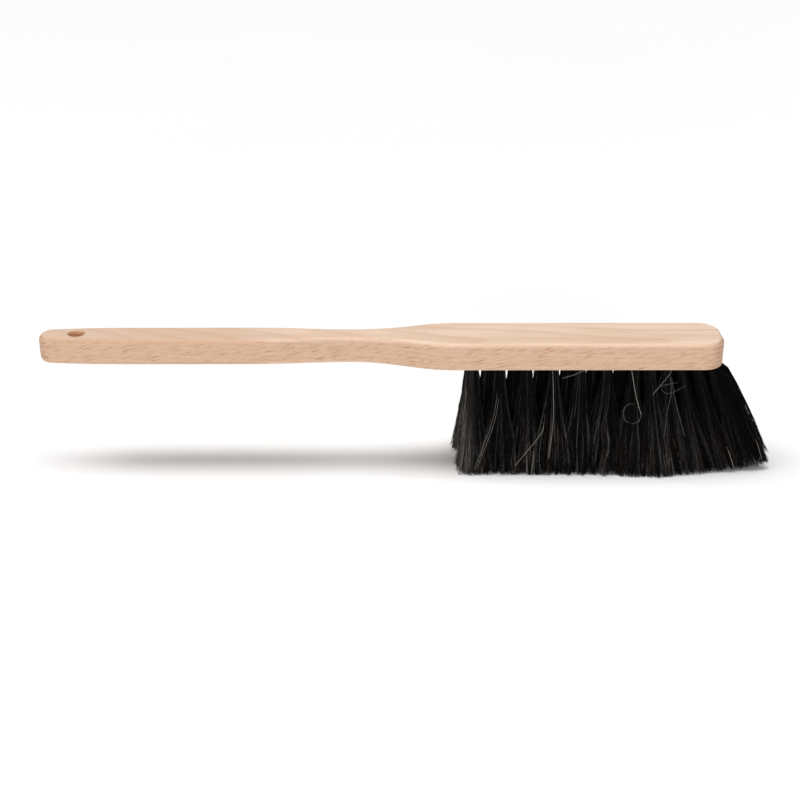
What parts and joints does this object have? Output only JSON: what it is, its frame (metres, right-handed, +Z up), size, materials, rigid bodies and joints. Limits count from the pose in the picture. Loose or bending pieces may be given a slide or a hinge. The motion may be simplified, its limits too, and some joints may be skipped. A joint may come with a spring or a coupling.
{
  "type": "hand broom",
  "caption": "Long-handled beech hand broom with black horsehair tufts stapled into a straight head, splayed at the toe, and a hanging hole through the handle end.",
  "frame": {"origin": "under the middle of the whole broom, on the surface that the trimmed hair stands on", "axes": "+X from the handle end to the toe, +Y across the head, +Z up through the hanging hole"},
  "size_m": [0.473, 0.044, 0.089],
  "materials": {
    "beech": "satin",
    "horsehair": "satin",
    "staple_wire": "satin"
  },
  "bodies": {
    "root": {"beech_block": "beech", "tuft_row1_01": "horsehair", "tuft_row1_02": "horsehair", "tuft_row1_03": "horsehair", "tuft_row1_04": "horsehair", "tuft_row1_05": "horsehair", "tuft_row1_06": "horsehair", "tuft_row1_07": "horsehair", "tuft_row1_08": "horsehair", "tuft_row1_09": "horsehair", "tuft_row1_10": "horsehair", "tuft_row1_11": "horsehair", "tuft_row1_12": "horsehair", "tuft_row2_01": "horsehair", "tuft_row2_02": "horsehair", "tuft_row2_03": "horsehair", "tuft_row2_04": "horsehair", "tuft_row2_05": "horsehair", "tuft_row2_06": "horsehair", "tuft_row2_07": "horsehair", "tuft_row2_08": "horsehair", "tuft_row2_09": "horsehair", "tuft_row2_10": "horsehair", "tuft_row2_11": "horsehair", "tuft_row2_12": "horsehair", "tuft_row3_01": "horsehair", "tuft_row3_02": "horsehair", "tuft_row3_03": "horsehair", "tuft_row3_04": "horsehair", "tuft_row3_05": "horsehair", "tuft_row3_06": "horsehair", "tuft_row3_07": "horsehair", "tuft_row3_08": "horsehair", "tuft_row3_09": "horsehair", "tuft_row3_10": "horsehair", "tuft_row3_11": "horsehair", "tuft_row3_12": "horsehair", "staples_row1": "staple_wire", "staples_row2": "staple_wire", "staples_row3": "staple_wire"}
  },
  "joints": []
}
